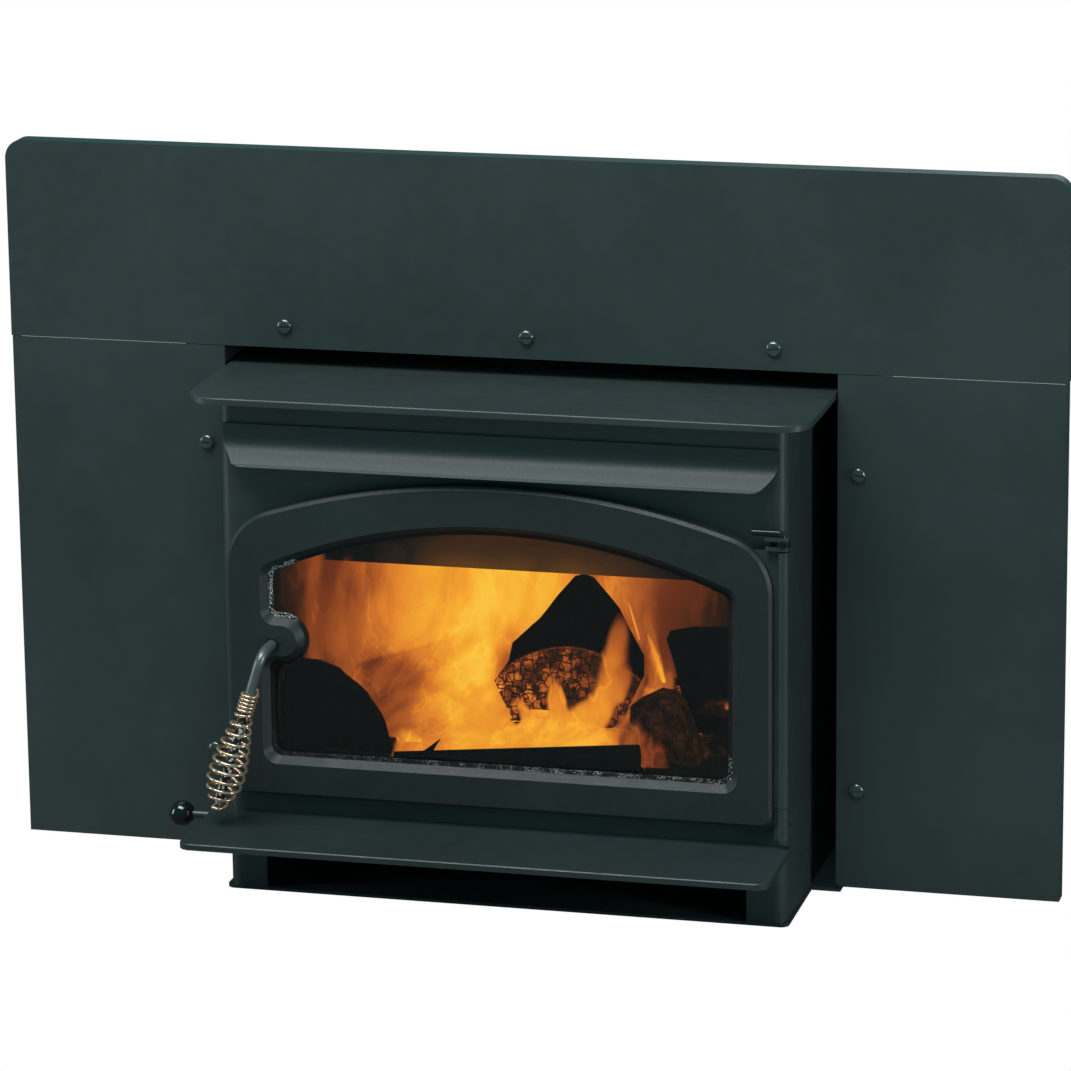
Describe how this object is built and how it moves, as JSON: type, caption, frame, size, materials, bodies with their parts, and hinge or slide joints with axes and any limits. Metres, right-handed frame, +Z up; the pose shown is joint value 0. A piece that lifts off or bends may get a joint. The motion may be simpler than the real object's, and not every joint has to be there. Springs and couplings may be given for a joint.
{
  "type": "wood-burning fireplace insert",
  "caption": "Wood-burning fireplace insert: steel body and casing, arched cast door with coil-grip handle, folded surround panels, front shelf, sliding air control and fire lining.",
  "frame": {"origin": "on the hearth, under the middle of the insert, in the plane of the surround's front face", "axes": "+X to the viewer's right, +Y into the fireplace (the viewer stands at -Y), +Z up"},
  "size_m": [1.016, 0.582, 0.692],
  "materials": {
    "surround_paint": "satin high-temperature paint",
    "body_paint": "satin high-temperature paint",
    "cast_paint": "painted casting, fine grain",
    "casing_steel": "painted sheet",
    "dark_fastener": "black oxide",
    "plain_steel": "plain steel",
    "handle_rod": "dark bright steel",
    "coil_wire": "bright wire, heat tinted",
    "ball_knob": "glossy black",
    "ceramic_glass": "clear ceramic pane",
    "woven_tape": "woven glass-fibre tape",
    "rope_seal": "woven rope",
    "firebrick": "rough light firebrick",
    "baffle_fibre": "fibre board",
    "embers": "glowing ash and embers",
    "charred_wood": "charred and cracked"
  },
  "bodies": {
    "insert_body": {"surround_top_panel": "surround_paint", "surround_left_panel": "surround_paint", "surround_right_panel": "surround_paint", "surround_screws": "dark_fastener", "surround_nuts": "plain_steel", "casing_wrap": "casing_steel", "casing_top": "casing_steel", "casing_flange": "casing_steel", "base_floor": "body_paint", "body_front": "body_paint", "body_rear": "body_paint", "top_plate": "body_paint", "flue_collar": "cast_paint", "collar_bolts": "dark_fastener", "air_deflector": "body_paint", "ash_shelf": "body_paint", "lower_hinge_bracket": "body_paint", "lower_hinge_pin": "plain_steel", "upper_hinge_bracket": "body_paint", "hinge_l_pin": "plain_steel", "hinge_washers": "plain_steel", "latch_keeper": "plain_steel", "air_rod_bush": "plain_steel", "air_box": "body_paint", "firebox_floor": "body_paint", "floor_bricks": "firebrick", "left_bricks": "firebrick", "right_bricks": "firebrick", "back_bricks": "firebrick", "baffle_board": "baffle_fibre", "ember_bed": "embers", "log_left": "charred_wood", "log_right": "charred_wood", "log_upright": "charred_wood", "log_front": "charred_wood", "log_leaning": "charred_wood"},
    "door": {"door_frame": "cast_paint", "door_rope_gasket": "rope_seal", "door_glass": "ceramic_glass", "glass_gasket": "woven_tape", "glass_clips": "plain_steel", "clip_screws": "dark_fastener", "door_hinge_tube": "body_paint", "door_hinge_leaf": "body_paint"},
    "handle": {"handle_shaft": "handle_rod", "handle_coil": "coil_wire", "shaft_collar": "handle_rod", "shaft_spacer": "plain_steel", "latch_tongue": "plain_steel", "shaft_nut": "dark_fastener"},
    "air_control": {"air_control_rod": "plain_steel", "air_control_knob": "ball_knob", "air_damper": "plain_steel"}
  },
  "joints": [
    {"name": "door_hinge", "type": "hinge", "parent": "insert_body", "child": "door", "pos_m": [0.2687, -0.119, 0.24], "axis": [0, 0, 1], "range_deg": [0, 115]},
    {"name": "handle_turn", "type": "hinge", "parent": "door", "child": "handle", "pos_m": [-0.2155, -0.12, 0.248], "axis": [0, 1, 0], "range_deg": [0, 75]},
    {"name": "air_control_slide", "type": "slide", "parent": "insert_body", "child": "air_control", "axis": [-1, 0, 0], "range_m": [-0.032, 0.02]}
  ]
}
